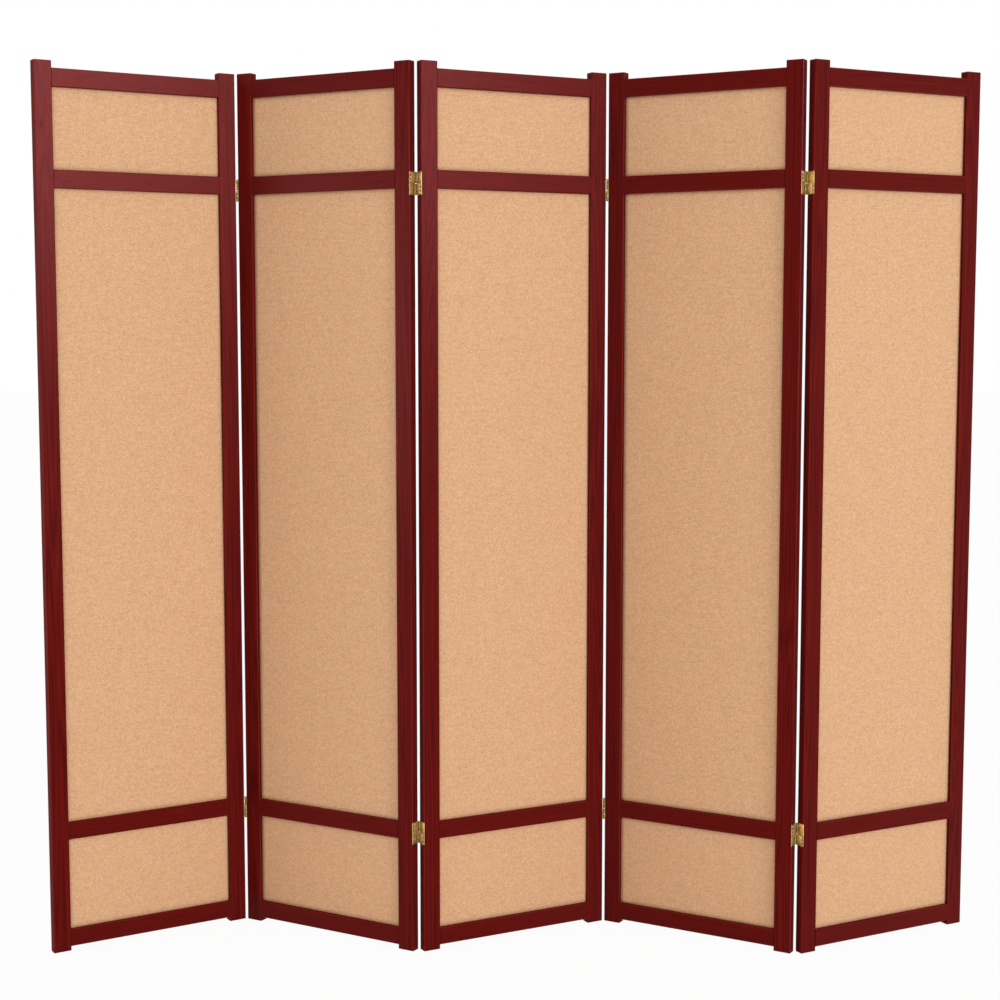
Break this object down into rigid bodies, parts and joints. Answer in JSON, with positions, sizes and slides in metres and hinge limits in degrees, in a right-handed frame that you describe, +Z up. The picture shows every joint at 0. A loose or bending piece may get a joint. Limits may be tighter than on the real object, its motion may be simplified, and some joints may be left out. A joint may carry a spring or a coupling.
{
  "type": "folding room divider",
  "caption": "Free-standing folding screen: dark red stained wooden frames with woven jute panes, joined by brass two-way hinges so that the panels stand in a zigzag and fold flat.",
  "frame": {"origin": "on the floor, under the middle of the footprint of the screen as it stands in the picture", "axes": "+X along the screen to the right, +Y from the front to the back, +Z up"},
  "size_m": [1.8956, 0.2436, 1.784],
  "materials": {
    "stained_wood": "dark red stain under a satin lacquer, faint straight grain, eased arrises",
    "jute": "matt plain-weave tan jute with uneven yarns, stretched flat",
    "brass": "bright plated brass, lightly brushed"
  },
  "bodies": {
    "panel_1": {"panel_1_left_stile": "stained_wood", "panel_1_right_stile": "stained_wood", "panel_1_top_rail": "stained_wood", "panel_1_upper_rail": "stained_wood", "panel_1_lower_rail": "stained_wood", "panel_1_bottom_rail": "stained_wood", "panel_1_top_pane": "jute", "panel_1_middle_pane": "jute", "panel_1_bottom_pane": "jute", "panel_1_hinge_leaves": "brass", "panel_1_hinge_links": "brass", "panel_1_hinge_pins": "brass"},
    "panel_2": {"panel_2_left_stile": "stained_wood", "panel_2_right_stile": "stained_wood", "panel_2_top_rail": "stained_wood", "panel_2_upper_rail": "stained_wood", "panel_2_lower_rail": "stained_wood", "panel_2_bottom_rail": "stained_wood", "panel_2_top_pane": "jute", "panel_2_middle_pane": "jute", "panel_2_bottom_pane": "jute", "panel_2_hinge_leaves": "brass", "panel_2_hinge_links": "brass", "panel_2_hinge_pins": "brass"},
    "panel_3": {"panel_3_left_stile": "stained_wood", "panel_3_right_stile": "stained_wood", "panel_3_top_rail": "stained_wood", "panel_3_upper_rail": "stained_wood", "panel_3_lower_rail": "stained_wood", "panel_3_bottom_rail": "stained_wood", "panel_3_top_pane": "jute", "panel_3_middle_pane": "jute", "panel_3_bottom_pane": "jute", "panel_3_hinge_leaves": "brass", "panel_3_hinge_links": "brass", "panel_3_hinge_pins": "brass"},
    "panel_4": {"panel_4_left_stile": "stained_wood", "panel_4_right_stile": "stained_wood", "panel_4_top_rail": "stained_wood", "panel_4_upper_rail": "stained_wood", "panel_4_lower_rail": "stained_wood", "panel_4_bottom_rail": "stained_wood", "panel_4_top_pane": "jute", "panel_4_middle_pane": "jute", "panel_4_bottom_pane": "jute", "panel_4_hinge_leaves": "brass", "panel_4_hinge_links": "brass", "panel_4_hinge_pins": "brass"},
    "panel_5": {"panel_5_left_stile": "stained_wood", "panel_5_right_stile": "stained_wood", "panel_5_top_rail": "stained_wood", "panel_5_upper_rail": "stained_wood", "panel_5_lower_rail": "stained_wood", "panel_5_bottom_rail": "stained_wood", "panel_5_top_pane": "jute", "panel_5_middle_pane": "jute", "panel_5_bottom_pane": "jute", "panel_5_hinge_leaves": "brass", "panel_5_hinge_links": "brass", "panel_5_hinge_pins": "brass"}
  },
  "joints": [
    {"name": "fold_1", "type": "hinge", "parent": "panel_2", "child": "panel_1", "pos_m": [-0.57936, 0.10211, 0], "axis": [0, 0, 1], "range_deg": [-61.4, 116.6]},
    {"name": "fold_2", "type": "hinge", "parent": "panel_3", "child": "panel_2", "pos_m": [-0.19865, -0.08791, 0], "axis": [0, 0, -1], "range_deg": [-57.4, 120.6]},
    {"name": "fold_3", "type": "hinge", "parent": "panel_3", "child": "panel_4", "pos_m": [0.18596, 0.0941, 0], "axis": [0, 0, -1], "range_deg": [-57.4, 120.6]},
    {"name": "fold_4", "type": "hinge", "parent": "panel_4", "child": "panel_5", "pos_m": [0.56667, -0.09592, 0], "axis": [0, 0, 1], "range_deg": [-57.7, 120.3]}
  ],
  "couplings": [
    {"joint": "fold_3", "follows": "fold_2", "ratio": 1}
  ]
}
